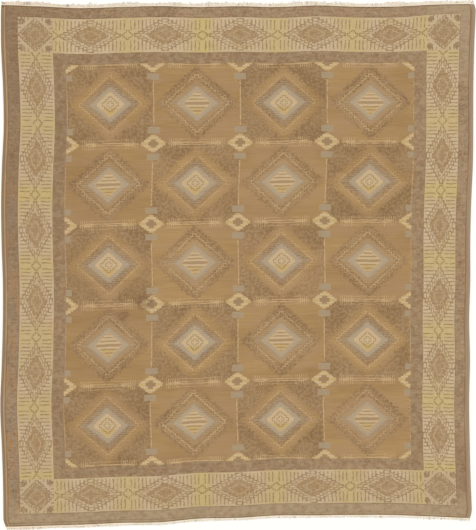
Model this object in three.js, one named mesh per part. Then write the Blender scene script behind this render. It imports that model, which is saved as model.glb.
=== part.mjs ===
// A room-sized flat-woven kilim lying flat, with a short fringe of knotted warps at each end.
// Millimetres, +Z up. The longer fringe is at the +Y end, and the whole underside is flat at Z = 0.
// The cloth is laid out as "across" (from the left selvedge) and "down" (from the +Y end), then each
// straight side is moved in or out as the two tables of edge offsets say.

import * as THREE from "three";

// Driving dimensions of the woven cloth
const WIDTH = 3000;
const LENGTH = 3280;
const CLOTH_CELLS_ACROSS = 22;
const CLOTH_CELLS_DOWN = 24;
const END_EDGE_HEIGHT = 2.2;
const END_EDGE_INSET = 6;

// Selvedge: two corded ribs woven along each long side, then a furrow where the pattern starts
const SELVEDGE = [
  { inset: 0, height: 1.8 },
  { inset: 3, height: 4.0 },
  { inset: 12, height: 4.0 },
  { inset: 15, height: 2.6 },
  { inset: 18, height: 4.0 },
  { inset: 27, height: 4.0 },
  { inset: 30, height: 2.4 },
  { inset: 34, height: 3.0 },
];

// How far each long side stands out from its straight line, evenly spaced from the +Y end
const SIDE_OFFSETS = [
  { left: 9, right: 32 },
  { left: 8, right: 21 },
  { left: -4, right: 15 },
  { left: -9, right: 14 },
  { left: 2, right: 12 },
  { left: 8, right: 1 },
  { left: 4, right: -5 },
  { left: -4, right: -5 },
  { left: -3, right: -12 },
  { left: 4, right: -7 },
  { left: 13, right: -12 },
  { left: 3, right: -9 },
  { left: -5, right: -3 },
  { left: -7, right: 6 },
];

// How far each end stands out from its straight line, evenly spaced from the left selvedge
const END_OFFSETS = [
  { top: 9, bottom: 50 },
  { top: 0, bottom: 43 },
  { top: -11, bottom: 36 },
  { top: -4, bottom: 25 },
  { top: 2, bottom: 21 },
  { top: -4, bottom: -2 },
  { top: 1, bottom: -7 },
  { top: -4, bottom: -22 },
  { top: 6, bottom: -23 },
  { top: -2, bottom: -26 },
  { top: -1, bottom: -25 },
  { top: 11, bottom: -16 },
  { top: 15, bottom: -6 },
];

// How far each corner is drawn in from its long side, and how far along the side that reaches
const CORNER_DRAWN_IN = {
  top: { left: 3, right: 12 },
  bottom: { left: 16, right: 14 },
};
const CORNER_REACH = 60;
const CORNER_STATION = 25;

// Fringes: a narrow knotted strip parted from the cloth, with locks of warp lying on the floor
const SEAM_GAP = 0.3;
const STRIP_HEIGHT = 2.6;
const FRINGE_END_MARGIN = 9;
const FRINGES = [
  { name: "fringe_top", end: "top", locks: 145, strip: 7, shortest: 11, longest: 21, root: 7.5, tip: 3.4, lean: 5 },
  { name: "fringe_bottom", end: "bottom", locks: 125, strip: 4, shortest: 4, longest: 13, root: 6, tip: 2.8, lean: 3 },
];
const LOCK_TIP_HEIGHT = 1.3;
const LOCK_WAIST = 0.82;
const LOCK_WAIST_AT = 0.5;
const LOCK_LEAN_AT_WAIST = 0.3;
const LOCK_TIP_SPREAD = 0.25;
const LOCK_SHIFT_SHARE = 0.18;
const FRINGE_SEED = 21;

const LOOKS = {
  cloth: { color: "#a58a62", roughness: 0.94, metalness: 0 },
  fringe: { color: "#ece0cd", roughness: 0.96, metalness: 0 },
};

const { clamp, lerp, seededRandom } = THREE.MathUtils;

// A smooth curve through one column of an evenly spaced table, at a share of the way along it
function along(table, column, share) {
  const place = clamp(share, 0, 1) * (table.length - 1);
  const i = Math.min(Math.floor(place), table.length - 2);
  const t = place - i;
  const value = (row) => table[clamp(row, 0, table.length - 1)][column];
  const [a, b, c, d] = [value(i - 1), value(i), value(i + 1), value(i + 2)];
  return b + 0.5 * t * (c - a + t * (2 * a - 5 * b + 4 * c - d + t * (3 * (b - c) + d - a)));
}

// The lines of points across and down the cloth: close together at the ribs, even between them
function stationsAcross() {
  const left = SELVEDGE.map(({ inset, height }) => ({ across: inset, height }));
  const right = left.map(({ across, height }) => ({ across: WIDTH - across, height })).reverse();
  const { inset, height } = SELVEDGE[SELVEDGE.length - 1];
  const middle = [];
  for (let i = 1; i < CLOTH_CELLS_ACROSS; i += 1) {
    middle.push({ across: lerp(inset, WIDTH - inset, i / CLOTH_CELLS_ACROSS), height });
  }
  return [...left, ...middle, ...right];
}

function stationsDown() {
  const atTop = [0, END_EDGE_INSET, CORNER_STATION];
  const atBottom = atTop.map((inset) => LENGTH - inset).reverse();
  const between = [];
  for (let i = 0; i <= CLOTH_CELLS_DOWN; i += 1) {
    between.push(lerp(CORNER_REACH, LENGTH - CORNER_REACH, i / CLOTH_CELLS_DOWN));
  }
  return [...atTop, ...between, ...atBottom].map((down) => {
    const atEnd = down === 0 || down === LENGTH;
    return { down, most: atEnd ? END_EDGE_HEIGHT : Infinity };
  });
}

const COLUMNS = stationsAcross();
const ROWS = stationsDown();

// An end's offset, straight between neighbouring columns, so that cloth and fringe share one edge
function endOffset(end, across) {
  const after = COLUMNS.findIndex((column) => column.across > across);
  const i = after < 0 ? COLUMNS.length - 1 : Math.max(after, 1);
  const [a, b] = [COLUMNS[i - 1].across, COLUMNS[i].across];
  const [atA, atB] = [a, b].map((place) => along(END_OFFSETS, end, place / WIDTH));
  return lerp(atA, atB, (across - a) / (b - a));
}

// How far a long side stands out at a place, with its corners drawn in
function sideOffset(side, down) {
  const end = down < LENGTH / 2 ? "top" : "bottom";
  const fromEnd = Math.min(down, LENGTH - down);
  const nearness = Math.max(0, 1 - fromEnd / CORNER_REACH);
  return along(SIDE_OFFSETS, side, down / LENGTH) - CORNER_DRAWN_IN[end][side] * nearness ** 2;
}

function clothPoint(across, down) {
  const u = across / WIDTH;
  const v = down / LENGTH;
  const outLeft = -sideOffset("left", down);
  const outRight = sideOffset("right", down);
  const x = across - WIDTH / 2 + lerp(outLeft, outRight, u);
  const y = LENGTH / 2 - down + lerp(endOffset("top", across), -endOffset("bottom", across), v);
  return [x, y];
}

// The cloth: a grid of points on top, the same grid on the floor, and a wall round both
function clothGeometry() {
  const positions = [];
  const faces = [];
  const across = COLUMNS.length;
  const layer = across * ROWS.length;
  for (const onTop of [true, false]) {
    for (const row of ROWS) {
      for (const column of COLUMNS) {
        const [x, y] = clothPoint(column.across, row.down);
        positions.push(x, y, onTop ? Math.min(column.height, row.most) : 0);
      }
    }
  }
  for (let r = 0; r < ROWS.length - 1; r += 1) {
    for (let c = 0; c < across - 1; c += 1) {
      const a = r * across + c;
      const b = a + across;
      faces.push(a, b, b + 1, a, b + 1, a + 1);
      faces.push(layer + a, layer + b + 1, layer + b, layer + a, layer + a + 1, layer + b + 1);
    }
  }
  const rim = [];
  for (let c = 0; c < across - 1; c += 1) rim.push(c);
  for (let r = 0; r < ROWS.length - 1; r += 1) rim.push(r * across + across - 1);
  for (let c = across - 1; c > 0; c -= 1) rim.push((ROWS.length - 1) * across + c);
  for (let r = ROWS.length - 1; r > 0; r -= 1) rim.push(r * across);
  rim.forEach((a, i) => {
    const b = rim[(i + 1) % rim.length];
    faces.push(a, b, layer + b, a, layer + b, layer + a);
  });
  const geometry = new THREE.BufferGeometry();
  geometry.setAttribute("position", new THREE.Float32BufferAttribute(positions, 3));
  geometry.setIndex(faces);
  return geometry;
}

// A point beside an end of the cloth, a distance out from its edge
function besideEnd(end, across, out) {
  const atTop = end === "top";
  const [x, y] = clothPoint(across, atTop ? 0 : LENGTH);
  return new THREE.Vector2(x, atTop ? y + out : y - out);
}

// One lock's outline, from its root's left side round the tip to the root's right side
function lockOutline(fringe, centre) {
  const length = lerp(fringe.shortest, fringe.longest, seededRandom());
  const lean = fringe.lean * (2 * seededRandom() - 1);
  const rootHalf = fringe.root / 2;
  const tipHalf = (fringe.tip / 2) * lerp(1 - LOCK_TIP_SPREAD, 1 + LOCK_TIP_SPREAD, seededRandom());
  const waistHalf = rootHalf * LOCK_WAIST;
  const waistLean = lean * LOCK_LEAN_AT_WAIST;
  const middle = fringe.strip + length * LOCK_WAIST_AT;
  const tip = fringe.strip + length;
  return [
    besideEnd(fringe.end, centre - rootHalf, fringe.strip),
    besideEnd(fringe.end, centre - waistHalf + waistLean, middle),
    besideEnd(fringe.end, centre - tipHalf + lean, tip),
    besideEnd(fringe.end, centre + tipHalf + lean, tip),
    besideEnd(fringe.end, centre + waistHalf + waistLean, middle),
    besideEnd(fringe.end, centre + rootHalf, fringe.strip),
  ];
}

// A fringe: the strip's inner side follows the cloth, its outer side runs out and back at each lock
function fringeGeometry(fringe) {
  const first = FRINGE_END_MARGIN;
  const last = WIDTH - FRINGE_END_MARGIN;
  const pitch = (last - first) / fringe.locks;
  const outer = [besideEnd(fringe.end, first - FRINGE_END_MARGIN / 2, fringe.strip)];
  for (let i = 0; i < fringe.locks; i += 1) {
    const shift = pitch * LOCK_SHIFT_SHARE * (2 * seededRandom() - 1);
    outer.push(...lockOutline(fringe, first + pitch * (i + 0.5) + shift));
  }
  outer.push(besideEnd(fringe.end, last + FRINGE_END_MARGIN / 2, fringe.strip));
  const inner = COLUMNS.map((column) => besideEnd(fringe.end, column.across, SEAM_GAP)).reverse();
  const shape = new THREE.Shape([...outer, ...inner]);
  const geometry = new THREE.ExtrudeGeometry(shape, { depth: STRIP_HEIGHT, bevelEnabled: false });
  return thinnedTowardsTips(geometry, fringe);
}

// Lowers the top of each lock from the strip's height to the tip's, leaving the floor side flat
function thinnedTowardsTips(geometry, fringe) {
  const position = geometry.getAttribute("position");
  const farthest = fringe.strip + fringe.longest;
  for (let i = 0; i < position.count; i += 1) {
    if (position.getZ(i) > 0) {
      const across = clamp(position.getX(i) + WIDTH / 2, 0, WIDTH);
      const edge = clothPoint(across, fringe.end === "top" ? 0 : LENGTH)[1];
      const out = Math.abs(position.getY(i) - edge);
      const share = clamp((out - fringe.strip) / (farthest - fringe.strip), 0, 1);
      position.setZ(i, lerp(STRIP_HEIGHT, LOCK_TIP_HEIGHT, share));
    }
  }
  return geometry;
}

function named(name, geometry, look) {
  const mesh = new THREE.Mesh(geometry, new THREE.MeshStandardMaterial(LOOKS[look]));
  mesh.name = name;
  return mesh;
}

// The origin is under the middle of everything that is built
function centred(group) {
  const middle = new THREE.Box3().setFromObject(group).getCenter(new THREE.Vector3());
  group.position.set(-middle.x, -middle.y, 0);
  return group;
}

seededRandom(FRINGE_SEED);
const kilim = new THREE.Group();
kilim.add(named("rug", clothGeometry(), "cloth"));
for (const fringe of FRINGES) {
  kilim.add(named(fringe.name, fringeGeometry(fringe), "fringe"));
}

export default centred(kilim);
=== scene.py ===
# A room-sized flat-woven kilim lying flat, seen from straight above.
# Metres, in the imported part's frame. "Across" runs from the left selvedge and "down" from the +Y end
# of the cloth as it was on the loom, straight and square; cloth_xy then gives its real, uneven place.

import math
import random
from functools import partialmethod

import bpy
import numpy as np
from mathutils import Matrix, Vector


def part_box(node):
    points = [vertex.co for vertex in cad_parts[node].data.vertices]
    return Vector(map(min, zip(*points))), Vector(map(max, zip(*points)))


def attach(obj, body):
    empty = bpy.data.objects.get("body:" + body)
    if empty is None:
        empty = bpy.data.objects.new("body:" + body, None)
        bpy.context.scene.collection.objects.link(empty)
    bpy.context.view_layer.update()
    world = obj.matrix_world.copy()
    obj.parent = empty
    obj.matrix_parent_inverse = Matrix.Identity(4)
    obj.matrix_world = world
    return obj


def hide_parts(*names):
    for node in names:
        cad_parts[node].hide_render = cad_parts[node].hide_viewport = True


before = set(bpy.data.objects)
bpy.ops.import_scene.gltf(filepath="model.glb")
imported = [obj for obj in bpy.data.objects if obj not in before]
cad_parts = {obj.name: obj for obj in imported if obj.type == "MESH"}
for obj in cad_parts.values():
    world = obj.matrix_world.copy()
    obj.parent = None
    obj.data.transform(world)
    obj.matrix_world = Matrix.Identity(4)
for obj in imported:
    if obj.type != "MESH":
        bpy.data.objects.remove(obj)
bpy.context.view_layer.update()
MM = 0.001

# The cloth as woven, and its bands, in millimetres from each edge
WIDTH = 3000
LENGTH = 3280
BANDS = {
    "left": {"selvedge": 32, "border": 107, "inner": 327, "field": 405},
    "right": {"selvedge": 32, "border": 95, "inner": 299, "field": 378},
    "top": {"border": 70, "inner": 291, "field": 362},
    "bottom": {"border": 78, "inner": 293, "field": 365},
}
# The cloth's height, its height at both ends, and how far in from them it is full
CLOTH_HEIGHT = 3.0
END_EDGE_HEIGHT = 2.2
END_EDGE_INSET = 6
# The largest cell of the cloth's mesh
CELL = 16.5

# One stitch of weft: a warp rib wide and a weft row high
RIB = 3.0
ROW = 1.9
# One warp end where it leaves the cloth
WARP = 2.4

# Height of the cloth going in from each selvedge: two corded ribs, then a furrow
RIB_INSETS = [0, 1.5, 4, 7.5, 11, 13.5, 15, 16.5, 19, 22.5, 26, 28.5, 30.5, 33, 38]
RIB_HEIGHTS = [1.8, 3.2, 4.0, 4.3, 4.0, 3.2, 2.6, 3.2, 4.0, 4.3, 4.0, 3.2, 2.4, 2.8, 3.0]

# Hardly visible waves: the heights of the short and long ones, and how far in from the edges they
# are full
SHORT_WAVES = 0.35
LONG_WAVES = 0.3
WAVES_START = 60

# How far each edge stands out from its straight line, evenly spaced along it
LEFT_OUT = [9, 8, -4, -9, 2, 8, 4, -4, -3, 4, 13, 3, -5, -7]
RIGHT_OUT = [32, 21, 15, 14, 12, 1, -5, -5, -12, -7, -12, -9, -3, 6]
TOP_OUT = [9, 0, -11, -4, 2, -4, 1, -4, 6, -2, -1, 11, 15]
BOTTOM_OUT = [50, 43, 36, 25, 21, -2, -7, -22, -23, -26, -25, -16, -6]
OUTLINE_SAMPLES = 200

# How far each corner is drawn in from its long side, and how far along the side that reaches
CORNER_DRAWN_IN = {"top": {"left": 3, "right": 12}, "bottom": {"left": 16, "right": 14}}
CORNER_REACH = 60
CORNER_STATION = 25
# How far the upper border's outer line rises at its right end, and from which share of the width
BORDER_LIFT = 12
BORDER_LIFT_FROM = 0.86

# The field's repeat: a straight grid of stepped diamonds
FIELD_CELLS_ACROSS = 4
FIELD_CELLS_DOWN = 5
FIELD_LEFT = BANDS["left"]["field"]
FIELD_TOP = BANDS["top"]["field"]
CELL_WIDTH = (WIDTH - FIELD_LEFT - BANDS["right"]["field"]) / FIELD_CELLS_ACROSS
CELL_LENGTH = (LENGTH - FIELD_TOP - BANDS["bottom"]["field"]) / FIELD_CELLS_DOWN

# The border's repeat along each side
REPEATS_ACROSS = 5
REPEATS_DOWN = 6
REPEAT = 450

# Yarn colours, as they look in daylight (red, green and blue from 0 to 255)
OCHRE_BROWN = (156, 122, 80)
OCHRE_LIGHT = (180, 146, 98)
OCHRE_PINK = (172, 139, 104)
TAUPE = (152, 122, 90)
TAUPE_DARK = (130, 102, 73)
TAUPE_LIGHT = (177, 149, 117)
BLUE_GREY = (172, 154, 128)
BLUE_GREY_LIGHT = (184, 164, 137)
CREAM = (205, 178, 136)
CREAM_LINE = (203, 171, 126)
YELLOW = (192, 163, 106)
BORDER_CREAM = (203, 179, 142)
BORDER_PINK = (204, 180, 146)
BORDER_YELLOW = (196, 173, 125)
BORDER_BROWN = (143, 114, 80)
BORDER_PATCH = (160, 131, 95)
BORDER_PANEL = (201, 178, 119)
DARK_LINE = (118, 91, 62)
STAIN = (116, 84, 60)
INNER_GUARD = (147, 118, 78)
GUARD_GREY = (147, 131, 110)
GUARD_ORANGE = (172, 132, 90)
GUARD_PINK = (158, 128, 103)
GUARD_OLIVE = (160, 140, 106)
GUARD_PALE = (190, 172, 142)
FIELD_TAUPE_DARK = (134, 104, 69)
FIELD_TAUPE_LIGHT = (174, 143, 106)
SELVEDGE = (163, 135, 108)
SELVEDGE_OLIVE = (160, 141, 115)
SELVEDGE_LIGHT = (179, 158, 129)
SELVEDGE_TAN = (185, 151, 112)
SELVEDGE_RED = (150, 112, 84)
FRINGE_TOP = (255, 241, 221)
FRINGE_BOTTOM = (255, 243, 225)
FRINGE_YELLOW = (238, 226, 188)
FRINGE_GREY = (205, 190, 168)
FRINGE_SOILED = (168, 150, 128)
FRINGE_WARM = (228, 178, 118)
FLOOR = (252, 251, 248)

# Marks in the field and in the right guard, in millimetres
FIELD_STAINS = [
    {"across": 905, "down": 1880, "reach": 85, "strength": 0.55},
    {"across": 775, "down": 1965, "reach": 50, "strength": 0.6},
]
GUARD_STAIN = {"across": 2932, "down": 1648, "reach": 14, "strength": 0.8}

# Millimetres, but for the counts, the seed, and the shares "uneven" and "longer_left"
FRINGES = [
    {"name": "fringe_top", "end": "top", "groups": 400, "yarns": 6, "web": 10.5, "shortest": 8,
     "longest": 18, "uneven": 0.34, "longer_left": 0.0, "stray": 12, "lean": 4.5, "radius": 1.15,
     "knot": 2.1, "seed": 11},
    {"name": "fringe_bottom", "end": "bottom", "groups": 360, "yarns": 5, "web": 8.5, "shortest": 5,
     "longest": 12, "uneven": 0.22, "longer_left": 0.2, "stray": 6, "lean": 3.5, "radius": 1.05,
     "knot": 1.8, "seed": 12},
]
LONGER_LEFT_REACH = 1300
STRAY_SHARE = 0.06
YARN_POINTS = 5
# How much a knot's or yarn's thickness varies, and how far from its knot's middle a yarn starts
SIZE_SPREAD = (0.8, 1.15)
START_SPREAD = 3.0
# The web's section: millimetres outwards, then a share of its reach outwards, and the height
WEB_SECTION = [(0.3, 0.0, 0.0), (0.3, 0.0, 2.0), (0.0, 0.6, 2.3), (0.0, 1.0, 1.2), (0.0, 1.0, 0.0)]
# How far the outermost knots stay from the cloth's long sides
FRINGE_MARGIN = 4
# Places along the upper end where the knots are soiled, and how far that reaches, in millimetres
SOILED_TOP = [{"across": 8, "reach": 10}, {"across": 160, "reach": 22}, {"across": 420, "reach": 12}]
SOILED_SHARE = 0.04


# Loom space to real space

def smooth_along(values, share):
    """A smooth curve through evenly spaced values, at shares from 0 to 1 of the way along them."""
    values = np.asarray(values, float)
    place = np.clip(share, 0, 1) * (len(values) - 1)
    i = np.minimum(place.astype(int), len(values) - 2)
    t = place - i

    def at(k):
        return values[np.clip(k, 0, len(values) - 1)]

    a, b, c, d = at(i - 1), at(i), at(i + 1), at(i + 2)
    return b + 0.5 * t * (c - a + t * (2 * a - 5 * b + 4 * c - d + t * (3 * (b - c) + d - a)))


def side_out(side, offsets, down):
    """How far a long side stands out at places along it, with its corners drawn in."""
    nearness = np.clip(1 - np.minimum(down, LENGTH - down) / CORNER_REACH, 0, None)
    corner = np.where(down < LENGTH / 2, CORNER_DRAWN_IN["top"][side], CORNER_DRAWN_IN["bottom"][side])
    return smooth_along(offsets, down / LENGTH) - corner * nearness ** 2


def loom_xy(across, down):
    """The real place of points on the cloth, in millimetres from the straight cloth's middle."""
    across, down = np.asarray(across, float), np.asarray(down, float)
    u, v = across / WIDTH, down / LENGTH
    out_x = -side_out("left", LEFT_OUT, down) * (1 - u) + side_out("right", RIGHT_OUT, down) * u
    out_y = smooth_along(TOP_OUT, u) * (1 - v) - smooth_along(BOTTOM_OUT, u) * v
    rise = np.clip((u - BORDER_LIFT_FROM) / (1 - BORDER_LIFT_FROM), 0, 1) ** 0.5 * BORDER_LIFT
    out_y = out_y + rise * np.interp(down, [0, BANDS["top"]["border"], BANDS["top"]["inner"]], [0, 1, 0])
    return across - WIDTH / 2 + out_x, LENGTH / 2 - down + out_y


def loom_centre():
    """Where the middle of the straight cloth lies in the part's frame, in millimetres."""
    low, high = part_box("rug")
    shares = np.linspace(0, 1, OUTLINE_SAMPLES)
    left, _ = loom_xy(0 * shares, shares * LENGTH)
    right, _ = loom_xy(0 * shares + WIDTH, shares * LENGTH)
    _, top = loom_xy(shares * WIDTH, 0 * shares)
    _, bottom = loom_xy(shares * WIDTH, 0 * shares + LENGTH)
    x = (low[0] + high[0]) / 2 / MM - (left.min() + right.max()) / 2
    y = (low[1] + high[1]) / 2 / MM - (top.max() + bottom.min()) / 2
    return x, y


CENTRE_X, CENTRE_Y = loom_centre()


def cloth_xy(across, down):
    """The real place of points on the cloth, in metres."""
    x, y = loom_xy(across, down)
    return (x + CENTRE_X) * MM, (y + CENTRE_Y) * MM


def cloth_height(across, down):
    """The cloth's upper face above the floor, in metres: flat weave, ribs, and hardly visible waves."""
    inset = np.minimum(across, WIDTH - across)
    from_end = np.minimum(down, LENGTH - down)
    calm = np.clip(np.minimum(inset, from_end) / WAVES_START, 0, 1)
    edge = np.clip(from_end / END_EDGE_INSET, 0, 1)
    waves = SHORT_WAVES * np.sin(across / 97 + 1.3 * np.sin(down / 310)) * np.sin(down / 121 + 0.8)
    waves += LONG_WAVES * np.sin(across / 263 + down / 190) * np.sin(down / 241 - across / 510)
    height = np.interp(inset, RIB_INSETS, RIB_HEIGHTS) + waves * calm
    return (END_EDGE_HEIGHT + (height - END_EDGE_HEIGHT) * edge) * MM


# Meshes

def new_piece(name, vertices, faces, node):
    mesh = bpy.data.meshes.new(name)
    mesh.from_pydata([tuple(v) for v in vertices], [], [tuple(f) for f in faces])
    mesh.update()
    piece = bpy.data.objects.new(name, mesh)
    bpy.context.scene.collection.objects.link(piece)
    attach(piece, "root")
    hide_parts(node)
    return piece


def band_span(band):
    """From where to where a band's outer edge reaches, across and down the cloth."""
    across = BANDS["left"][band], WIDTH - BANDS["right"][band]
    down = BANDS["top"][band], LENGTH - BANDS["bottom"][band]
    return across, down


def stations(insets, bands, size):
    """Lines at every mark from two opposite edges, and evenly between, no more than a cell apart."""
    starts = insets + [start for start, _ in bands]
    ends = [end for _, end in reversed(bands)] + [size - inset for inset in reversed(insets)]
    marks = starts + ends
    lines = []
    for a, b in zip(marks, marks[1:]):
        cells = max(1, math.ceil((b - a) / CELL))
        lines += [a + (b - a) * k / cells for k in range(cells)]
    return np.array(lines + [marks[-1]])


def cloth_lines():
    """Where the lines of the cloth's mesh run, across and down."""
    across_bands, down_bands = zip(*(band_span(band) for band in ("border", "inner", "field")))
    end_insets = [0, END_EDGE_INSET, CORNER_STATION, CORNER_REACH]
    return stations(RIB_INSETS, across_bands, WIDTH), stations(end_insets, down_bands, LENGTH)


REGIONS = ["field", "border_across", "border_down", "corner", "guard", "selvedge"]


def span_around(place, *spans):
    """Which of some stretches a place is in."""
    return next(((start, end) for start, end in spans if start < place < end), None)


def region_of(across, down):
    """Which band a place on the cloth is in, and for the border that stretch's box."""
    (x0, x3), (y0, y3) = band_span("border")
    (x1, x2), (y1, y2) = band_span("inner")
    side = span_around(across, (x0, x1), (x2, x3))
    end = span_around(down, (y0, y1), (y2, y3))
    if across < BANDS["left"]["selvedge"] or across > WIDTH - BANDS["right"]["selvedge"]:
        return "selvedge", None
    if side and end:
        return "corner", (*side, *end)
    if end and x1 < across < x2:
        return "border_across", (x1, x2, *end)
    if side and y1 < down < y2:
        return "border_down", (*side, y1, y2)
    field_across, field_down = band_span("field")
    if span_around(across, field_across) and span_around(down, field_down):
        return "field", None
    return "guard", None


def band_uv(region, box, across, down):
    """Along and across the band, in millimetres of the border's repeat, measured from its middle."""
    if box is None:
        return 0.0, 0.0
    x0, x1, y0, y1 = box
    x, y = across - (x0 + x1) / 2, down - (y0 + y1) / 2
    if region == "border_across":
        return x * REPEATS_ACROSS * REPEAT / (x1 - x0), y
    if region == "border_down":
        return y * REPEATS_DOWN * REPEAT / (y1 - y0), x
    return x, y


def rim_of(rows, columns):
    """The outer points of a grid in order, once round."""
    rim = list(range(columns - 1))
    rim += [r * columns + columns - 1 for r in range(rows - 1)]
    rim += [(rows - 1) * columns + c for c in range(columns - 1, 0, -1)]
    rim += [r * columns for r in range(rows - 1, 0, -1)]
    return rim


def cloth_faces(across_lines, down_lines):
    """Faces of the upper side, the underside and the rim, with each one's region and box."""
    rows, columns = len(down_lines), len(across_lines)
    layer = rows * columns
    faces, places = [], []
    for r in range(rows - 1):
        for c in range(columns - 1):
            a = r * columns + c
            b = a + columns
            middle = (across_lines[c] + across_lines[c + 1]) / 2, (down_lines[r] + down_lines[r + 1]) / 2
            faces.append((a, b, b + 1, a + 1))
            places.append(region_of(*middle))
    faces += [(a + layer, d + layer, c + layer, b + layer) for a, b, c, d in faces]
    places += places
    rim = rim_of(rows, columns)
    for a, b in zip(rim, rim[1:] + rim[:1]):
        faces.append((b, b + layer, a + layer, a))
        places.append(("selvedge" if a % columns == b % columns else "guard", None))
    return faces, places


def build_cloth():
    """The cloth, with the same yarns showing on both faces, as in any flat weave."""
    across_lines, down_lines = cloth_lines()
    u, v = np.meshgrid(across_lines, down_lines)
    x, y = cloth_xy(u, v)
    top = np.stack((x, y, cloth_height(u, v)), axis=-1).reshape(-1, 3)
    underside = top * (1, 1, 0)
    faces, places = cloth_faces(across_lines, down_lines)
    top_faces = (len(across_lines) - 1) * (len(down_lines) - 1)
    piece = new_piece("kilim_cloth", np.concatenate((top, underside)), faces, "rug")
    mesh = piece.data
    mesh.polygons.foreach_set("material_index", [REGIONS.index(region) for region, _ in places])
    mesh.polygons.foreach_set("use_smooth", [i < top_faces for i in range(len(faces))])
    flat_u, flat_v = np.tile(u.reshape(-1), 2), np.tile(v.reshape(-1), 2)
    weave, band = [], []
    for face, (region, box) in zip(faces, places):
        for k in face:
            weave += [flat_u[k] * MM, flat_v[k] * MM]
            along, athwart = band_uv(region, box, flat_u[k], flat_v[k])
            band += [along * MM, athwart * MM]
    mesh.uv_layers.new(name="weave").data.foreach_set("uv", weave)
    mesh.uv_layers.new(name="band").data.foreach_set("uv", band)
    return piece


def beside_end(end, across, out):
    """A point in metres beside an end of the cloth, some millimetres out from its edge."""
    x, y = cloth_xy(np.array([across]), np.array([0.0 if end == "top" else LENGTH]))
    return float(x[0]), float(y[0]) + (out if end == "top" else -out) * MM


class Strands:
    """Gathers closed tubes and beads into one mesh."""

    def __init__(self):
        self.vertices = []
        self.faces = []
        self.soiled = []
        self.tips = {}

    def ring(self, centre, side, radius, sides, tip):
        first = len(self.vertices)
        for k in range(sides):
            turn = 2 * math.pi * (k + 0.5) / sides
            out, up = math.cos(turn) * radius, math.sin(turn) * radius
            self.vertices.append((centre[0] + side[0] * out, centre[1] + side[1] * out, centre[2] + up))
            self.tips[first + k] = tip
        return first

    def tube(self, path, radii, sides=5):
        rings = []
        for i, point in enumerate(path):
            a, b = path[max(i - 1, 0)], path[min(i + 1, len(path) - 1)]
            dx, dy = b[0] - a[0], b[1] - a[1]
            size = math.hypot(dx, dy) or 1.0
            side, tip = (dy / size, -dx / size), i / (len(path) - 1)
            rings.append(self.ring(point, side, radii[i], sides, tip))
        for a, b in zip(rings, rings[1:]):
            for k in range(sides):
                n = (k + 1) % sides
                self.faces.append((a + k, a + n, b + n, b + k))
        self.faces.append(tuple(rings[0] + k for k in reversed(range(sides))))
        self.faces.append(tuple(rings[-1] + k for k in range(sides)))

    def bead(self, centre, radii, sides=7, levels=4):
        rings = []
        for level in range(1, levels):
            tilt = math.pi * level / levels
            rings.append(len(self.vertices))
            for k in range(sides):
                turn = 2 * math.pi * k / sides
                self.vertices.append((
                    centre[0] + radii[0] * math.cos(turn) * math.sin(tilt),
                    centre[1] + radii[1] * math.sin(turn) * math.sin(tilt),
                    centre[2] + radii[2] * math.cos(tilt),
                ))
        crown, foot = len(self.vertices), len(self.vertices) + 1
        self.vertices += [(*centre[:2], centre[2] + radii[2]), (*centre[:2], centre[2] - radii[2])]
        for k in range(sides):
            n = (k + 1) % sides
            self.faces.append((crown, rings[0] + k, rings[0] + n))
            self.faces.append((foot, rings[-1] + n, rings[-1] + k))
            for a, b in zip(rings, rings[1:]):
                self.faces.append((a + k, b + k, b + n, a + n))


def lengthened(fringe, across):
    """How many times longer the fringe is here than at the right; it grows over the left 1.3 m."""
    return 1 + fringe["longer_left"] * max(0.0, 1 - across / LONGER_LEFT_REACH)


def add_web(strands, fringe):
    """The knotted web between the cloth and the loose yarns: a low strip with a wavy outer side."""
    steps = fringe["groups"]
    sections = []
    for i in range(steps + 1):
        across = WIDTH * i / steps
        reach = fringe["web"] * lengthened(fringe, across)
        reach *= 1 + 0.12 * math.sin(i * 1.7) + 0.1 * math.sin(i * 0.37)
        sections.append(len(strands.vertices))
        for gap, share, height in WEB_SECTION:
            x, y = beside_end(fringe["end"], across, gap + reach * share)
            strands.vertices.append((x, y, height * MM))
    corners = len(WEB_SECTION)
    faces = []
    for a, b in zip(sections, sections[1:]):
        for k in range(corners):
            n = (k + 1) % corners
            faces.append((a + k, b + k, b + n, a + n))
    faces.append(tuple(sections[0] + k for k in range(corners)))
    faces.append(tuple(sections[-1] + k for k in reversed(range(corners))))
    strands.faces += faces if fringe["end"] == "top" else [face[::-1] for face in faces]


def yarn_path(fringe, across, web, length, rng):
    """A loose yarn's path in metres and its radii, from its knot down to the floor and outwards."""
    lean = rng.uniform(-1, 1) * fringe["lean"] * (1 + length / 20)
    curl = rng.uniform(-1, 1) * fringe["lean"] * 0.6
    start = rng.uniform(-1, 1) * START_SPREAD
    radius = fringe["radius"] * rng.uniform(*SIZE_SPREAD)
    lift = rng.uniform(0, 0.8)
    path, radii = [], []
    for k in range(YARN_POINTS):
        t = k / (YARN_POINTS - 1)
        thin = 1 - 0.45 * t ** 2
        side = start + lean * t + curl * math.sin(math.pi * t)
        x, y = beside_end(fringe["end"], across + side, web * 0.7 + (length + web * 0.3) * t)
        height = radius * thin + (fringe["knot"] * 0.8 + lift) * (1 - t) ** 2
        path.append((x, y, height * MM))
        radii.append(radius * thin * MM)
    return path, radii


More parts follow.
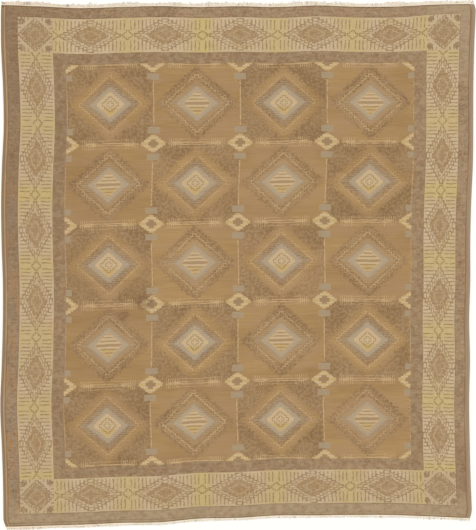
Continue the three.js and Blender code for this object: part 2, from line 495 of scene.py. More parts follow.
def add_group(strands, fringe, across, rng, drift):
    """One knot and the yarns that leave it, lying on the floor; some groups are soiled."""
    first_face = len(strands.faces)
    longer = lengthened(fringe, across)
    web = fringe["web"] * longer
    x, y = beside_end(fringe["end"], across, web * 0.8)
    size = fringe["knot"] * rng.uniform(*SIZE_SPREAD) * MM
    strands.bead((x, y, size * 0.9), (size, size * 1.15, size * 0.9))
    stray = rng.random() < STRAY_SHARE
    for _ in range(fringe["yarns"]):
        length = rng.uniform(fringe["shortest"], fringe["longest"]) * drift * longer
        length += rng.uniform(0.3, 1.0) * fringe["stray"] * stray
        strands.tube(*yarn_path(fringe, across, web, length, rng))
    near_spot = any(abs(across - spot["across"]) < spot["reach"] for spot in SOILED_TOP)
    if (fringe["end"] == "top" and near_spot) or rng.random() < SOILED_SHARE:
        strands.soiled.extend(range(first_face, len(strands.faces)))


def build_fringe(fringe):
    strands = Strands()
    rng = random.Random(fringe["seed"])
    add_web(strands, fringe)
    pitch = (WIDTH - 2 * FRINGE_MARGIN) / fringe["groups"]
    for i in range(fringe["groups"]):
        across = FRINGE_MARGIN + pitch * (i + 0.5 + 0.3 * rng.uniform(-1, 1))
        wave = math.sin(across / 61 + fringe["seed"]) * math.sin(across / 173)
        drift = 0.88 + fringe["uneven"] * (wave + 0.5 * rng.uniform(-1, 1))
        add_group(strands, fringe, across, rng, drift)
    name = fringe["name"] + "_yarns"
    piece = new_piece(name, strands.vertices, strands.faces, fringe["name"])
    for face in strands.soiled:
        piece.data.polygons[face].material_index = 1
    tips = piece.data.attributes.new("tip", "FLOAT", "POINT")
    tips.data.foreach_set("value", [strands.tips.get(k, 0.0) for k in range(len(strands.vertices))])
    return piece


# Materials: arithmetic on Value objects adds Math nodes

# Noise in the yarn colours: width and height of its features in millimetres, detail, roughness, an
# offset, and where given the levels that become 0 and 1
FUZZ = (1.3, 1.1, 2, 0.6, 5)
GRAIN = (19, 17, 2, 0.6, 2, 0.37, 0.65)
BROAD = (210, 190, 2, 0.5, 8, 0.35, 0.65)
OCHRE_STREAK = (170, 4.5, 3, 0.65, 1, 0.33, 0.67)
OCHRE_FADE = (640, 150, 2, 0.5, 4, 0.3, 0.7)
PINK_FADE = (260, 90, 2, 0.5, 15, 0.45, 0.7)
PINK_BROAD = (420, 260, 1, 0.5, 39, 0.5, 0.66)
LONG_STREAK = (2400, 6.5, 2, 0.6, 37)
STAIN_EDGE = (34, 30, 3, 0.6, 9)
STAIN_GAPS = (26, 15, 2, 0.6, 35, 0.3, 0.62)
BLOCK_WEAR = (300, 240, 2, 0.5, 28, 0.3, 0.6)
FIELD_WEAR = (60, 22, 3, 0.7, 12, 0.3, 0.6)
GREY_WEFT = (90, 8, 2, 0.6, 14)
BORDER_FADE = (170, 150, 2, 0.5, 7)
BORDER_GRAIN = (26, 22, 2, 0.6, 3, 0.35, 0.68)
BORDER_WEAR = (30, 30, 3, 0.6, 12, 0.26, 0.56)
MOTTLE = (22, 20, 2, 0.6, 27, 0.36, 0.62)
WARMTH = (90, 80, 1, 0.5, 29, 0.4, 0.65)
GUARD_PEBBLES = (17, 15, 2, 0.6, 2, 0.36, 0.66)
GUARD_GRAIN = (8, 6, 1, 0.5, 13, 0.3, 0.7)
GUARD_BROAD = (230, 260, 2, 0.5, 8, 0.35, 0.65)
GUARD_STREAK = (180, 6, 2, 0.6, 1, 0.35, 0.65)
GUARD_PATCHES = (46, 30, 2, 0.6, 31, 0.34, 0.66)
GUARD_HUE = (70, 60, 2, 0.55, 17)
GUARD_BLOTCHES = (38, 30, 2, 0.6, 45)
SIDE_LOTS = (17, 210, 1, 0.5, 41)
END_LOTS = (150, 15, 1, 0.5, 43)
END_EDGE_BREAKS = (70, 400, 3, 0.6, 23, 0.3, 0.55)
LINE_WEAR = (90, 60, 2, 0.5, 19, 0.3, 0.6)
RIB_OLIVE = (60, 420, 2, 0.5, 4, 0.38, 0.62)
RIB_WRAPS = (40, 6, 2, 0.6, 1, 0.35, 0.65)
RIB_FADE = (300, 360, 2, 0.5, 9)
RIB_WEAR = (30, 130, 2, 0.6, 33, 0.3, 0.6)

# How edges wander across and down: width and height of the unevenness, an offset, and its reach
BLOCK_SWAYS = ((13, 11, 21, 60), (14, 12, 25, 54))
FIELD_SWAYS = ((40, 9, 3, 8), (60, 30, 6, 7))
BORDER_SWAYS = ((24, 24, 3, 9), (34, 34, 6, 9))
LOZENGE_SWAYS = ((13, 12, 21, 60), (12, 13, 25, 50))

# Stepped diamonds: half width, half height, steps in a quarter, and where drawn the line's thickness
RING = (255, 236, 13)
RING_HOLE = (170, 154, 9)
DIAMOND = (200, 186, 13, 6.5)
FAINT_DIAMOND = (222, 206, 13, 4)
THINNING = (176, 142, 10)
GREY = (130, 110, 8, 3.5)
HEART = (85, 77, 6, 5.5)
HEART_RING = (54, 50, 4, 5)
HEART_EYE = (24, 22, 2, 5)
CROSS = (77, 55, 5)
CROSS_EYE = (32, 26, 2)
BORDER_OUTER = (186, 104, 8, 6.5)
BORDER_INNER = (148, 84, 7, 6)
BORDER_SMALL = (34, 30, 3, 6)
CORNER_CLEAR = (128, 122, 10)
CORNER_LINE = (108, 102, 8, 7)
CORNER_SPOT = (20, 20, 2)
BORDER_LOZENGE = (112, 64, 6, 5)
CORNER_LOZENGE = (84, 80, 6, 5)
# A lozenge's eye: its size as a share of the lozenge's, its steps, and its line's thickness
EYE_SHARE = 0.56
EYE_STEPS = 3
EYE_LINE = 7

# Even lines: pitch and thickness in millimetres
HEART_ROWS = (12, 6)
BROAD_STRIPES = (22, 9)
COMB_TEETH = (14, 5)
BAR_STRIPES = (8, 2.4)
BORDER_TEETH = (23, 7)
BORDER_SPOKES = (23, 6)
TEETH_SHIFT = 5
SPOKES_SHIFT = 11
# From where to where the teeth reach, from the middle of the border and of a corner
TEETH_FROM = 34
TEETH_TO = 98
CORNER_TEETH_FROM = 88
# Where the heart's yellow part starts
YELLOW_FROM = 26

# Lines from where four cells meet: how far off the level ones are, then half thickness and start
UPRIGHT_LINE = (3.3, 112)
LEVEL_LINE = (6.5, 3, 122)
FAINT_LINE = (25, 2.4, 170)
# Combs and bars on those lines: how far off, and half their width and height
COMB_AT = 142
COMB_HALF = (42, 32)
COMB_BACK_HALF = (45, 3.2)
BAR_AT = 84
BAR_HALF = (38, 20)
# Where the spots of a square corner are, across and down from its middle
CORNER_SPOT_AT = 84
# How thick the lines round the border are
BORDER_LINE = 6
# The selvedges' coloured rows: how far in from the edge they start and end
TAN_ROW = (18, 29)
RED_ROW = (22, 32)

# Principled shader values
CLOTH_LOOK = {"Roughness": 0.93, "Specular IOR Level": 0.15, "Sheen Weight": 0.06, "Sheen Roughness": 0.5}
YARN_LOOK = {"Roughness": 0.95, "Specular IOR Level": 0.15, "Sheen Weight": 0.1}
CLOTH_RELIEF = 0.7
SELVEDGE_RELIEF = 0.9
YARN_RELIEF = 0.5
CLOTH_RELIEF_DEPTH = 0.6
YARN_RELIEF_DEPTH = 0.3


def linear(colour):
    """A daylight colour of 0 to 255 as the linear colour that the shader takes."""
    channels = [c / 255 for c in colour]
    return tuple(c / 12.92 if c < 0.04045 else ((c + 0.055) / 1.055) ** 2.4 for c in channels) + (1.0,)


def plug(socket, value):
    if isinstance(value, Value):
        value.tree.links.new(value.socket, socket)
    else:
        socket.default_value = value


def add_node(tree, kind, inputs, output=0, **settings):
    """Adds a node with its settings and inputs, and gives one of its outputs."""
    node = tree.nodes.new("ShaderNode" + kind)
    for name, value in settings.items():
        setattr(node, name, value)
    for name, value in inputs.items():
        plug(node.inputs[name], value)
    return Value(tree, node.outputs[output])


def mixed(tree, under, over, amount):
    """A colour some part of the way from one to another."""
    node = tree.nodes.new("ShaderNodeMix")
    node.data_type = "RGBA"
    sockets = [s for s in node.inputs if s.enabled]
    for socket, value in zip(sockets, (amount, under, over)):
        plug(socket, value if isinstance(value, (Value, float, int)) else linear(value))
    return Value(tree, next(s for s in node.outputs if s.enabled))


def blank_material(name):
    material = bpy.data.materials.new(name)
    material.use_nodes = True
    material.node_tree.nodes.clear()
    return material


def add_shader(tree, colour, look, height, relief, depth):
    """The shader, with a relief from a height of about 0 to 1 whose depth is in millimetres."""
    bump = {"Strength": relief, "Distance": depth * MM, "Height": height}
    normal = add_node(tree, "Bump", bump, "Normal")
    shader = add_node(tree, "BsdfPrincipled", {"Base Color": colour, "Normal": normal, **look})
    plug(tree.nodes.new("ShaderNodeOutputMaterial").inputs["Surface"], shader)


class Value:
    """A number, vector or colour in a material's node tree."""

    def __init__(self, tree, socket):
        self.tree = tree
        self.socket = socket

    def math(self, operation, *others):
        return add_node(self.tree, "Math", dict(enumerate((self, *others))), operation=operation)

    __add__ = partialmethod(math, "ADD")
    __sub__ = partialmethod(math, "SUBTRACT")
    __rsub__ = partialmethod(math, "MULTIPLY_ADD", -1)
    __mul__ = partialmethod(math, "MULTIPLY")
    __truediv__ = partialmethod(math, "DIVIDE")
    __lt__ = partialmethod(math, "LESS_THAN")
    __gt__ = partialmethod(math, "GREATER_THAN")
    __abs__ = partialmethod(math, "ABSOLUTE")
    floor = partialmethod(math, "FLOOR")
    fract = partialmethod(math, "FRACT")
    larger = partialmethod(math, "MAXIMUM")

    def wave(self, pitch=1):
        """A sine wave from 0 to 1 that comes back after each pitch."""
        return (self * (2 * math.pi / pitch)).math("SINE") * 0.5 + 0.5

    def between(self, low, high):
        """Rises smoothly from 0 at low to 1 at high."""
        inputs = {"Value": self, "From Min": low, "From Max": high}
        return add_node(self.tree, "MapRange", inputs, "Result", interpolation_type="SMOOTHSTEP")


class Cloth:
    """One region's material: a yarn colour built up layer by layer over the woven surface."""

    def __init__(self, name):
        self.material = blank_material(name)
        self.tree = self.material.node_tree
        self.colour = None
        self.find_stitches()

    def find_stitches(self):
        """Across and down become those of the stitch's middle, so that each stitch has one colour."""
        across, down = self.uv("weave")
        self.rib = across / RIB
        column = self.rib.floor()
        half_shift = column * 0.5 - (column * 0.5).floor()
        self.row = down / ROW + half_shift
        self.across = (column + 0.5) * RIB
        self.down = (self.row.floor() - half_shift + 0.5) * ROW

    def uv(self, name):
        """A UV map's two coordinates, in millimetres."""
        place = add_node(self.tree, "UVMap", {}, "UV", uv_map=name)
        split = add_node(self.tree, "SeparateXYZ", {0: place}).socket.node
        return [Value(self.tree, split.outputs[axis]) / MM for axis in "XY"]

    def texture(self, kind, x, y, output, more):
        place = add_node(self.tree, "CombineXYZ", {"X": x, "Y": y})
        return add_node(self.tree, kind, {"Vector": place, **more}, output, noise_dimensions="2D")

    def noise(self, settings, x=None, y=None):
        """Smooth noise from 0 to 1, with settings as in the table of noises."""
        wide, tall, detail, roughness, shift, *levels = settings
        x, y = (x or self.across) / wide + shift, (y or self.down) / tall + shift * 0.37
        more = {"Scale": 1, "Detail": detail, "Roughness": roughness}
        noise = self.texture("TexNoise", x, y, "Fac", more)
        return noise.between(*levels) if levels else noise

    def chance(self, a, b):
        """A fixed random number from 0 to 1 for each pair of whole numbers."""
        return self.texture("TexWhiteNoise", a, b, "Value", {})

    def sways(self, settings):
        """How far to move a place across and down so that edges wander."""
        return [(self.noise((wide, tall, 1, 0.5, shift)) - 0.5) * reach
                for wide, tall, shift, reach in settings]

    def mixed(self, under, over, amount):
        return mixed(self.tree, under, over, amount)

    def lay(self, colour, amount):
        """Lays a yarn colour over what is there."""
        self.colour = self.mixed(self.colour, colour, amount)

    def shade(self, tone):
        """Makes the colour lighter or darker by a factor."""
        inputs = {0: self.colour, "Scale": tone}
        self.colour = add_node(self.tree, "VectorMath", inputs, "Vector", operation="SCALE")

    def finish(self, relief=CLOTH_RELIEF):
        """Adds the weave's ribs and rows as relief, paints shade in the furrows between them, and adds
        the shader.
        """
        height = (self.rib - 0.25).wave() * ((self.row - 0.25).wave() * 0.4 + 0.6)
        fuzz = self.noise(FUZZ, self.rib * RIB, self.row * ROW)
        heather = self.chance(self.rib.floor(), self.row.floor())
        # Painted shade: the colour darkens in the furrows between ribs and rows; fuzz and heather are the
        # yarn's own tone
        self.shade(height * 0.1 + fuzz * 0.12 + heather * 0.05 + 0.865)
        add_shader(self.tree, self.colour, CLOTH_LOOK, height + fuzz * 0.5, relief, CLOTH_RELIEF_DEPTH)
        return self.material


def filled(figure, a, b):
    """1 inside a stepped diamond, from the distances a and b to its two axes."""
    half_wide, half_tall, steps = figure[:3]
    tread = (b * (steps / half_tall)).floor() * (half_wide / steps)
    return (a + tread) < half_wide


def drawn(figure, a, b):
    """1 on the outline of a stepped diamond."""
    thick = figure[3]
    return filled(figure, a, b) - filled(figure, a + thick, b + thick)


def block(a, b, half_wide, half_tall):
    return (a < half_wide) * (b < half_tall)


def stitched(value, pitch):
    """The middle of the stitch that a place is in."""
    return ((value / pitch).floor() + 0.5) * pitch


def combed(a, pitch, thick):
    """1 on evenly spaced lines."""
    return (a / pitch).fract() < thick / pitch


def add_ochre(cloth):
    """Ochre wool with faded bands, browner to the left, and fine streaks along the weft."""
    tone = cloth.noise(OCHRE_STREAK) * 0.5 + cloth.noise(OCHRE_FADE) * 0.42 + 0.04
    cloth.colour = cloth.mixed(OCHRE_BROWN, OCHRE_LIGHT, tone)
    cloth.lay(OCHRE_PINK, cloth.noise(PINK_FADE) * 0.5)
    cloth.lay(OCHRE_BROWN, cloth.across.between(1150, 500) * 0.3)
    cloth.lay(OCHRE_PINK, cloth.noise(PINK_BROAD) * 0.35)
    cloth.shade(cloth.noise(LONG_STREAK) * 0.16 + 0.92)


def add_stain(cloth, across, down, reach, strength):
    """A ragged, patchy mark, darkest in its middle."""
    x, y = cloth.across - across, cloth.down - down
    wander = (cloth.noise(STAIN_EDGE) - 0.5) * reach
    distance = (x * x + y * y * 1.3).math("SQRT") + wander
    patchy = cloth.noise(STAIN_GAPS) * 0.6 + 0.4
    cloth.lay(STAIN, distance.between(reach, reach * 0.35) * patchy * strength)


def field_cell(cloth, sway_x, sway_y):
    """Which cell of the field's grid a place is in, and its distances from the cell's middle."""
    x = (cloth.across - FIELD_LEFT + sway_x) / CELL_WIDTH
    y = (cloth.down - FIELD_TOP + sway_y) / CELL_LENGTH
    p = (x.fract() - 0.5) * CELL_WIDTH
    q = (y.fract() - 0.5) * CELL_LENGTH
    return x.floor(), y.floor(), p, q


def add_blocks(cloth):
    """Taupe and ochre blocks in turn, each with a stepped ring of the other yarn; speckled edges."""
    column, line, p, q = field_cell(cloth, *cloth.sways(BLOCK_SWAYS))
    even = 1 - ((column + line) / 2).fract() * 2
    a, b = abs(p), abs(q)
    counterchanged = abs(even - (filled(RING, a, b) - filled(RING_HOLE, a, b)))
    speckles = cloth.noise(GRAIN) * 0.5 + cloth.noise(BROAD) * 0.3 + 0.06
    taupe = cloth.mixed(FIELD_TAUPE_DARK, FIELD_TAUPE_LIGHT, speckles)
    cloth.lay(taupe, counterchanged * (cloth.noise(BLOCK_WEAR) * 0.25 + 0.7))
    cloth.shade(cloth.chance(column + 3, line + 7) * 0.06 + 0.96)


def field_material():
    cloth = Cloth("kilim_field")
    add_ochre(cloth)
    add_blocks(cloth)
    column, line, p, q = field_cell(cloth, *cloth.sways(FIELD_SWAYS))
    odd = ((column + line) / 2).fract() * 2
    a, b = abs(p), abs(q)
    worn = cloth.noise(FIELD_WEAR) * 0.7 + 0.3
    faded = cloth.chance(column + 11, line + 5) * 0.35 + 0.65
    cloth.lay(CREAM_LINE, drawn(DIAMOND, a, b) * worn * faded * 0.75)
    cloth.lay(CREAM_LINE, drawn(FAINT_DIAMOND, a, b) * worn * faded * 0.4)
    add_heart(cloth, odd, a, b, q, worn * 0.3 + faded * 0.7)
    add_crossing(cloth, CELL_WIDTH / 2 - a, CELL_LENGTH / 2 - b, worn)
    for stain in FIELD_STAINS:
        add_stain(cloth, **stain)
    return cloth.finish()


def add_heart(cloth, odd, a, b, q, strength):
    """Blue-grey whose outer rows thin out, round a cream and yellow middle, striped in odd cells."""
    cloth.lay(BLUE_GREY, combed(b, *HEART_ROWS) * filled(THINNING, a, b) * 0.55)
    weft = cloth.mixed(BLUE_GREY, BLUE_GREY_LIGHT, cloth.noise(GREY_WEFT))
    cloth.lay(weft, filled(GREY, a, b) * (strength * 0.5 + 0.4))
    cloth.lay(DARK_LINE, drawn(GREY, a, b) * 0.2)
    heart = filled(HEART, a, b)
    cloth.lay(CREAM, heart * (strength * 0.5 + 0.42))
    cloth.lay(YELLOW, heart * (q > YELLOW_FROM) * 0.85)
    cloth.lay(TAUPE, heart * odd * combed(b, *BROAD_STRIPES) * 0.7)
    cloth.lay(TAUPE_DARK, drawn(HEART_RING, a, b) * (1 - odd) * 0.6)
    cloth.lay(TAUPE_DARK, drawn(HEART_EYE, a, b) * (1 - odd) * 0.5)
    cloth.lay(CREAM_LINE, drawn(HEART, a, b) * 0.6)


def level_line(c, d, at, half_thick, start):
    return (abs(d - at) < half_thick) * (c > start)


def add_crossing(cloth, c, d, worn):
    """Long lines between the cells, broken by combs and bars, with a hollow cross where they meet."""
    half_thick, start = UPRIGHT_LINE
    lines = ((c < half_thick) * (d > start)).larger(level_line(c, d, *LEVEL_LINE))
    cloth.lay(CREAM_LINE, lines * worn * 0.85)
    cloth.lay(CREAM_LINE, level_line(c, d, *FAINT_LINE) * worn * 0.45)
    from_comb = abs(c - COMB_AT)
    teeth = combed(c, *COMB_TEETH) * block(from_comb, d, *COMB_HALF)
    back = block(from_comb, d, *COMB_BACK_HALF)
    cloth.lay(CREAM_LINE, teeth.larger(back) * worn * 0.75)
    bars = block(c, abs(d - BAR_AT), *BAR_HALF)
    cloth.lay(BLUE_GREY, bars * 0.85)
    cloth.lay(OCHRE_BROWN, bars * combed(d, *BAR_STRIPES) * 0.6)
    cross = filled(CROSS, c, d)
    cloth.lay(CREAM, cross * (worn * 0.25 + 0.75))
    cloth.lay(YELLOW, cross * combed(d, *BROAD_STRIPES) * 0.75)
    cloth.lay(TAUPE, filled(CROSS_EYE, c, d) * 0.85)


def border_ground(cloth, along):
    """Cream wool with yellow and pink fades, and a yellow panel between motifs, strong or faint."""
    fade = cloth.noise(BORDER_FADE)
    cloth.colour = cloth.mixed(BORDER_CREAM, BORDER_PINK, fade.between(0.35, 0.6))
    cloth.lay(BORDER_YELLOW, fade.between(0.52, 0.36) * 0.35)
    repeat = along / REPEAT + 0.5
    near_panel = abs(repeat.fract() - 0.5)
    strength = cloth.chance(repeat.floor() + 7, repeat.floor() * 3 + 2)
    cloth.lay(BORDER_YELLOW, near_panel.between(0.3, 0.12) * 0.6)
    cloth.lay(BORDER_PANEL, near_panel.between(0.13, 0.07) * (strength * 0.8 + 0.1))
    cloth.lay(TAUPE_LIGHT, cloth.noise(BORDER_GRAIN) * 0.24)
    duller = cloth.across.between(420, 300).larger(cloth.down.between(2950, 3050))
    cloth.lay(BORDER_PATCH, duller * 0.12)


def border_material(name, repeats, along_pitch, athwart_pitch):
    cloth = Cloth(name)
    along, athwart = cloth.uv("band")
    along = stitched(along, along_pitch) + REPEAT * repeats / 2
    athwart = stitched(athwart, athwart_pitch)
    border_ground(cloth, along)
    sway_a, sway_b = cloth.sways(BORDER_SWAYS)
    a = abs(((along + sway_a) / REPEAT).fract() * REPEAT - REPEAT / 2)
    b = abs(athwart + sway_b)
    worn = cloth.noise(BORDER_WEAR) * 0.6 + 0.4

    # Teeth reaching in from both edges, outside the stepped outline
    inside = filled(BORDER_OUTER, a, b)
    teeth = combed(a + TEETH_SHIFT, *BORDER_TEETH) * (b > TEETH_FROM) * (b < TEETH_TO) * (1 - inside)
    cloth.lay(BORDER_BROWN, teeth * worn * 0.75)
    cloth.lay(BORDER_BROWN, drawn(BORDER_OUTER, a, b) * worn * 0.8)
    cloth.lay(BORDER_BROWN, drawn(BORDER_INNER, a, b) * worn * 0.75)
    spokes = combed(a + SPOKES_SHIFT, *BORDER_SPOKES) * (inside - filled(BORDER_INNER, a, b))
    cloth.lay(BORDER_BROWN, spokes * worn * 0.5)
    add_lozenge(cloth, BORDER_LOZENGE, a, b, worn)

    # Small hollow diamonds between the lozenges
    cloth.lay(BORDER_BROWN, drawn(BORDER_SMALL, REPEAT / 2 - a, b) * worn * 0.8)
    return cloth.finish()


def add_lozenge(cloth, lozenge, a, b, worn):
    """A brown lozenge whose dye has bled in flecks, with a pale eye."""
    fleck_a, fleck_b = cloth.sways(LOZENGE_SWAYS)
    mottled = cloth.noise(MOTTLE) * 0.25 + 0.7
    middle = cloth.mixed(BORDER_PATCH, OCHRE_BROWN, cloth.noise(WARMTH) * 0.6)
    cloth.lay(middle, filled(lozenge, abs(a + fleck_a), abs(b + fleck_b)) * mottled)
    cloth.lay(BORDER_BROWN, drawn(lozenge, a, b) * worn * 0.45)
    eye = (lozenge[0] * EYE_SHARE, lozenge[1] * EYE_SHARE, EYE_STEPS, EYE_LINE)
    cloth.lay(BORDER_CREAM, drawn(eye, a, b) * worn * 0.45)


def corner_material():
    """A square corner: a lozenge in a stepped outline, teeth at the edges, and a spot in each corner."""
    cloth = Cloth("kilim_corner")
    x, y = cloth.uv("band")
    x, y = stitched(x, RIB), stitched(y, ROW)
    border_ground(cloth, x + REPEAT / 2)
    sway_a, sway_b = cloth.sways(BORDER_SWAYS)
    a, b = abs(x + sway_a), abs(y + sway_b)
    worn = cloth.noise(BORDER_WEAR) * 0.6 + 0.4
    teeth_a = combed(a + TEETH_SHIFT, *BORDER_TEETH) * (a < b) * (b > CORNER_TEETH_FROM)
    teeth_b = combed(b + TEETH_SHIFT, *BORDER_TEETH) * (b < a) * (a > CORNER_TEETH_FROM)
    teeth = teeth_a.larger(teeth_b) * (1 - filled(CORNER_CLEAR, a, b))
    cloth.lay(BORDER_BROWN, teeth * worn * 0.8)
    cloth.lay(BORDER_BROWN, drawn(CORNER_LINE, a, b) * worn * 0.85)
    add_lozenge(cloth, CORNER_LOZENGE, a, b, worn)
    spot = filled(CORNER_SPOT, abs(a - CORNER_SPOT_AT), abs(b - CORNER_SPOT_AT))
    cloth.lay(BORDER_BROWN, spot * worn * 0.85)
    cloth.lay(GUARD_GREY, 0.09)
    return cloth.finish()


def edge_line(place, line, thick):
    """1 within half a thickness of a line."""
    return abs(place - line) < thick / 2


def within(place, span):
    return (place > span[0]) * (place < span[1])


def inside_border(cloth):
    """1 on the inner guard, 0 on the outer one."""
    across, down = band_span("inner")
    return within(cloth.across, across) * within(cloth.down, down)


def guard_material():
    """Mottled brown-grey wool, darker at the left and paler towards the right and the lower end."""
    cloth = Cloth("kilim_guard")
    tone = cloth.noise(GUARD_PEBBLES) * 0.42 + cloth.noise(GUARD_GRAIN) * 0.24
    tone = tone + cloth.noise(GUARD_PATCHES) * 0.4 + cloth.noise(GUARD_BROAD) * 0.2
    tone = tone + cloth.noise(GUARD_STREAK) * 0.3 - 0.29
    paler_right = cloth.across.between(300, 2800) * 0.17
    paler_down = cloth.down.between(3100, 3220)
    cloth.colour = cloth.mixed(TAUPE_DARK, TAUPE_LIGHT, tone + paler_right + paler_down * 0.3)
    hue = cloth.noise(GUARD_HUE)
    cloth.lay(GUARD_PINK, hue.between(0.5, 0.34) * 0.36)
    cloth.lay(GUARD_OLIVE, hue.between(0.5, 0.66) * 0.36)
    add_guard_streaks(cloth)
    cloth.lay(TAUPE_DARK, cloth.across.between(700, 100) * cloth.down.between(2600, 900) * 0.36)
    cloth.lay(GUARD_OLIVE, paler_down * 0.3)
    cloth.lay(GUARD_PALE, paler_down * 0.12)
    add_guard_corners(cloth)
    cloth.lay(INNER_GUARD, inside_border(cloth) * 0.24)
    blotches = cloth.noise(GUARD_BLOTCHES)
    uneven = inside_border(cloth) + paler_down
    cloth.lay(TAUPE_DARK, blotches.between(0.5, 0.66) * uneven * 0.26)
    cloth.lay(GUARD_PALE, blotches.between(0.5, 0.34) * uneven * 0.16)
    darken_end_edges(cloth)
    add_border_lines(cloth)
    add_soiled_corner(cloth)
    add_stain(cloth, **GUARD_STAIN)
    return cloth.finish()


def inset_from(place, size):
    """How far a place is from the nearer of two opposite edges."""
    return size / 2 - abs(place - size / 2)


def add_guard_streaks(cloth):
    """Grey and orange dye lots, long along each guard and a few stitches across it."""
    at_side = inset_from(cloth.across, WIDTH) < inset_from(cloth.down, LENGTH)
    side_lots, end_lots = cloth.noise(SIDE_LOTS), cloth.noise(END_LOTS)
    lots = end_lots + (side_lots - end_lots) * at_side
    strength = cloth.across.between(600, 100) * at_side * 0.32 + 0.25
    towards_lower_end = cloth.down.between(700, 1600) * 0.7 + 0.3
    cloth.lay(GUARD_ORANGE, lots.between(0.46, 0.38) * strength * towards_lower_end)
    cloth.lay(GUARD_GREY, lots.between(0.54, 0.61) * strength)


def add_guard_corners(cloth):
    """The outer guard's bleached upper right corner, and the darker stretch above its lower right one."""
    at_right = cloth.across.between(2560, 2760) * (1 - inside_border(cloth))
    cloth.lay(GUARD_PALE, at_right * cloth.down.between(620, 300) * 0.25)
    dark_stretch = cloth.down.between(2640, 2800) * cloth.down.between(3150, 3080)
    cloth.lay(TAUPE_DARK, at_right * dark_stretch * 0.26)


def darken_end_edges(cloth):
    """Darker along each end's edge, broken in places, and along a line inside the lower end, stronger
    towards the left.
    """
    near_end = cloth.down.larger(LENGTH - cloth.down) > LENGTH - 6.5
    broken = cloth.noise(END_EDGE_BREAKS) * 0.5 + 0.4
    at_upper_end = (cloth.down < LENGTH / 2) * 0.3 + 0.7
    cloth.lay(DARK_LINE, near_end * broken * at_upper_end)
    to_left = cloth.across.between(1500, 600) * 0.3 + 0.15
    cloth.lay(DARK_LINE, edge_line(cloth.down, LENGTH - 20, 5) * to_left)


def add_border_lines(cloth):
    """Thin dark lines round the border, and a pink one at the left of the field."""
    wear = cloth.noise(LINE_WEAR) * 0.6 + 0.4
    across, down = band_span("border")
    half = BORDER_LINE / 2
    for place, edges, other, span, strength in (
        (cloth.down, down, cloth.across, across, 0.4),
        (cloth.across, across, cloth.down, down, 0.35),
    ):
        low_line = edge_line(place, edges[0] - half, BORDER_LINE)
        lines = low_line.larger(edge_line(place, edges[1] + half, BORDER_LINE))
        cloth.lay(DARK_LINE, lines * within(other, span) * wear * strength)
    field_line = edge_line(cloth.across, FIELD_LEFT - 4, BORDER_LINE)
    cloth.lay(GUARD_PINK, field_line * inside_border(cloth) * 0.6)


def add_soiled_corner(cloth):
    """The grubby upper left corner."""
    from_corner = cloth.across * 0.5 + cloth.down * 1.4
    cloth.lay(DARK_LINE, from_corner.between(38, 16) * 0.7)


def selvedge_material():
    """An olive or pinkish outer rib and a tan inner one, redder and darker on the right."""
    cloth = Cloth("kilim_selvedge")
    inset = inset_from(cloth.across, WIDTH)
    at_right = cloth.across > WIDTH / 2
    cloth.colour = cloth.mixed(SELVEDGE, SELVEDGE_OLIVE, cloth.noise(RIB_OLIVE))
    cloth.lay(TAUPE, cloth.noise(RIB_WRAPS) * (0.34 - at_right * 0.1))
    cloth.lay(TAUPE_DARK, (1 - at_right) * 0.32)
    cloth.lay(SELVEDGE_LIGHT, at_right * 0.4)
    long_fade = cloth.noise(RIB_FADE)
    tan = long_fade.between(0.3, 0.55) * 0.6 + 0.3
    cloth.lay(SELVEDGE_TAN, within(inset, TAN_ROW) * (1 - at_right) * tan)
    red = long_fade.between(0.6, 0.4) * 0.45 + 0.2
    cloth.lay(SELVEDGE_RED, within(inset, RED_ROW) * at_right * red)
    # Painted shade: a darker line along the furrow between the two corded ribs
    cloth.lay(DARK_LINE, edge_line(inset, 15, 3.5) * 0.22)
    worn = cloth.noise(RIB_WEAR) * 0.6 + 0.4
    cloth.lay(DARK_LINE, edge_line(inset, 30.5, 5) * worn * 0.6)
    cloth.lay(DARK_LINE, (inset < 2) * 0.3)
    add_soiled_corner(cloth)
    return cloth.finish(SELVEDGE_RELIEF)


def yarn_material(name, clean, dull, tip_shadow, warm_left):
    """Undyed warp ends: a clean colour, duller in places and warmer to the left, with painted shade
    between warp ends and painted shadow greying the tips.
    """
    material = blank_material(name)
    tree = material.node_tree
    place = add_node(tree, "NewGeometry", {}, "Position")

    def noise(scale, detail):
        return add_node(tree, "TexNoise", {"Vector": place, "Scale": scale, "Detail": detail}, "Fac")

    tip = add_node(tree, "Attribute", {}, "Fac", attribute_name="tip")
    # Painted shadow: the yarns turn greyer towards their tips, at the fringe's outer edge on the floor
    shaded_tip = tip.between(0.35, 1) * tip_shadow
    place_x = add_node(tree, "SeparateXYZ", {0: place}, "X")
    furrows = place_x.wave(WARP * MM)
    tuft = noise(55, 2).between(0.56, 0.74)
    grain = noise(900, 3)
    yellowed = noise(9, 2).between(0.5, 0.62) * 0.55
    # Painted shade: the furrows between warp ends push the colour towards the dull one; tufts and grain
    # are the yarn's own tone
    amount = tuft * 0.5 + grain * 0.2 + furrows * 0.16 - 0.08 + shaded_tip
    colour = mixed(tree, mixed(tree, clean, FRINGE_YELLOW, yellowed), dull, amount)
    colour = mixed(tree, colour, FRINGE_WARM, place_x.between(-0.6, -1.35) * warm_left)
    add_shader(tree, colour, YARN_LOOK, grain - furrows, YARN_RELIEF, YARN_RELIEF_DEPTH)
    return material


# Stage, light and camera

MM_PER_PIXEL = 6.4
PHOTO_PIXELS = (476, 530)
LOOM_CENTRE_PIXEL = (236.65, 262.7)
LENS_MM = 85
SENSOR_MM = 36
FLOOR_HALF_SIZE = 90.0
FLOOR_LEVEL = -0.0004
FLOOR_LOOK = {"Roughness": 0.9, "Specular IOR Level": 0.1}
SKY_COLOUR = (1.0, 0.995, 0.985, 1.0)
SKY_STRENGTH = 0.85
SUN_STRENGTH = 0.82
SUN_SPREAD = math.radians(12)
SUN_TURN = (math.radians(-28), math.radians(-30), 0)


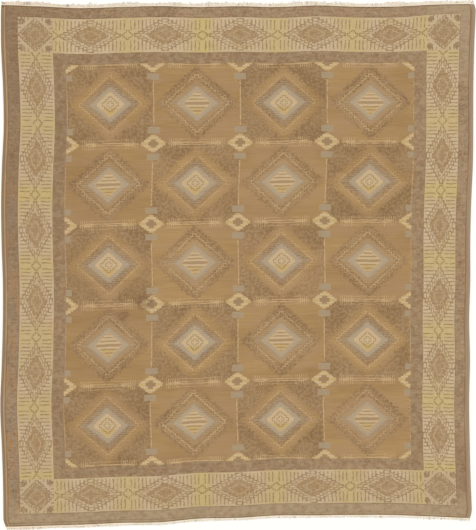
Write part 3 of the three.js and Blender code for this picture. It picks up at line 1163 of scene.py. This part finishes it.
def add_floor():
    mesh = bpy.data.meshes.new("floor")
    turns = ((-1, -1), (1, -1), (1, 1), (-1, 1))
    corners = [(x * FLOOR_HALF_SIZE, y * FLOOR_HALF_SIZE, FLOOR_LEVEL) for x, y in turns]
    mesh.from_pydata(corners, [], [(0, 1, 2, 3)])
    material = bpy.data.materials.new("floor")
    material.use_nodes = True
    shader = material.node_tree.nodes["Principled BSDF"]
    shader.inputs["Base Color"].default_value = linear(FLOOR)
    for name, value in FLOOR_LOOK.items():
        shader.inputs[name].default_value = value
    mesh.materials.append(material)
    floor = bpy.data.objects.new("floor", mesh)
    bpy.context.scene.collection.objects.link(floor)
    return floor


def add_light():
    scene = bpy.context.scene
    scene.view_settings.view_transform = "Standard"
    world = bpy.data.worlds.new("daylight")
    world.use_nodes = True
    sky = world.node_tree.nodes["Background"]
    sky.inputs["Color"].default_value = SKY_COLOUR
    sky.inputs["Strength"].default_value = SKY_STRENGTH
    scene.world = world
    sun = bpy.data.objects.new("soft_sun", bpy.data.lights.new("soft_sun", "SUN"))
    sun.data.energy = SUN_STRENGTH
    sun.data.angle = SUN_SPREAD
    sun.rotation_euler = SUN_TURN
    scene.collection.objects.link(sun)


def add_camera():
    """A camera above the rug that shows it at the scale and place that it has in the photo."""
    data = bpy.data.cameras.new("camera")
    data.lens = LENS_MM
    data.sensor_fit = "VERTICAL"
    data.sensor_height = SENSOR_MM
    camera = bpy.data.objects.new("camera", data)
    tall = PHOTO_PIXELS[1] * MM_PER_PIXEL * MM
    x = CENTRE_X + (PHOTO_PIXELS[0] / 2 - LOOM_CENTRE_PIXEL[0]) * MM_PER_PIXEL
    y = CENTRE_Y - (PHOTO_PIXELS[1] / 2 - LOOM_CENTRE_PIXEL[1]) * MM_PER_PIXEL
    camera.location = (x * MM, y * MM, tall * LENS_MM / SENSOR_MM + CLOTH_HEIGHT * MM)
    bpy.context.scene.collection.objects.link(camera)
    bpy.context.scene.camera = camera


add_camera()
floor = add_floor()
add_light()

cloth = build_cloth()
# In the order of REGIONS
for material in (
    field_material(),
    border_material("kilim_border_across", REPEATS_ACROSS, RIB, ROW),
    border_material("kilim_border_down", REPEATS_DOWN, ROW, RIB),
    corner_material(),
    guard_material(),
    selvedge_material(),
):
    cloth.data.materials.append(material)

yarns = [
    yarn_material("warp_yarn_top", FRINGE_TOP, FRINGE_GREY, 0.5, 0.11),
    yarn_material("warp_yarn_bottom", FRINGE_BOTTOM, FRINGE_GREY, 0.1, 0.24),
]
soiled_yarn = yarn_material("soiled_yarn", FRINGE_GREY, FRINGE_SOILED, 0.4, 0.0)
fringes = [build_fringe(fringe) for fringe in FRINGES]
for piece, yarn in zip(fringes, yarns):
    piece.data.materials.append(yarn)
    piece.data.materials.append(soiled_yarn)
    piece.data.polygons.foreach_set("use_smooth", [True] * len(piece.data.polygons))
